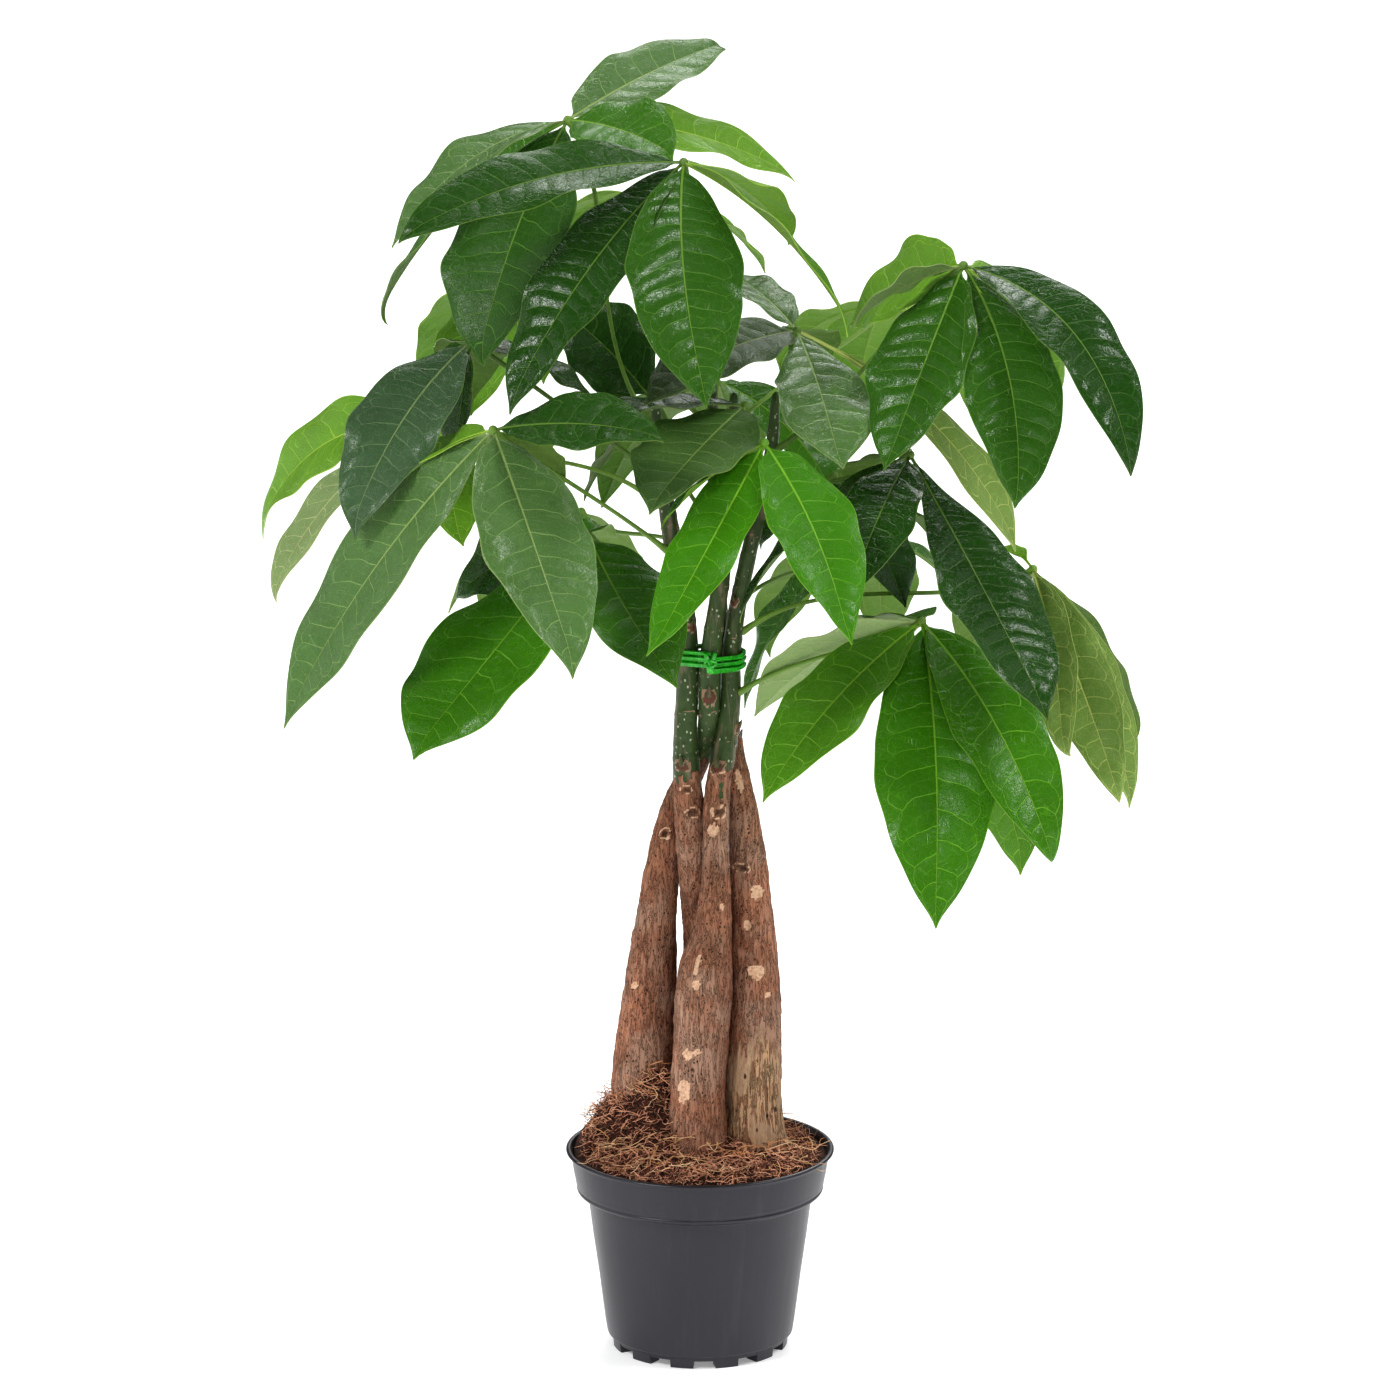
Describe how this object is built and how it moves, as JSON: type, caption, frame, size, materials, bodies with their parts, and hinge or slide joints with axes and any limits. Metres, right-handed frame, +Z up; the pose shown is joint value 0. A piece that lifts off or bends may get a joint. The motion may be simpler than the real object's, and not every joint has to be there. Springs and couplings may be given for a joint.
{
  "type": "potted money tree",
  "caption": "Potted money tree: trunks bound together by a green tie, a crown of hand-shaped leaves, coir and a dark nursery pot.",
  "frame": {"origin": "middle of the pot's resting plane, on the floor", "axes": "+Z up the trunks, -Y towards the pictured side, +X to the right of that side"},
  "size_m": [0.5656, 0.4463, 0.8196],
  "materials": {
    "pot_plastic": "satin charcoal plastic",
    "coir": "loose matte coconut fibre mulch",
    "bark": "fine fissured bark, green towards the tips",
    "tie_tape": "shiny emerald tie",
    "leaf_dark": "glossy dark green leaf",
    "leaf_mid": "glossy mid green leaf",
    "leaf_light": "satin light green leaf",
    "leaf_young": "glossy vivid green young leaf"
  },
  "bodies": {
    "root": {"pot": "pot_plastic", "soil": "coir", "stem_1": "bark", "stem_2": "bark", "stem_3": "bark", "stem_4": "bark", "tie": "tie_tape", "leaf_top_left": "leaf_mid", "leaf_top_front": "leaf_dark", "leaf_left_front": "leaf_mid", "leaf_left_dark": "leaf_dark", "leaf_far_left": "leaf_light", "leaf_low_left": "leaf_dark", "leaf_centre_left": "leaf_dark", "leaf_centre": "leaf_dark", "leaf_young": "leaf_young", "leaf_right_high": "leaf_dark", "leaf_right_dark": "leaf_dark", "leaf_low_right": "leaf_mid", "leaf_far_right": "leaf_light", "leaf_back_top": "leaf_light", "leaf_back_left": "leaf_light", "leaf_back_right": "leaf_light", "leaf_back_centre": "leaf_mid", "leaf_back_low_left": "leaf_mid", "leaf_back_low_right": "leaf_mid", "leaf_inner_left": "leaf_dark", "leaf_inner_right": "leaf_dark"}
  },
  "joints": []
}
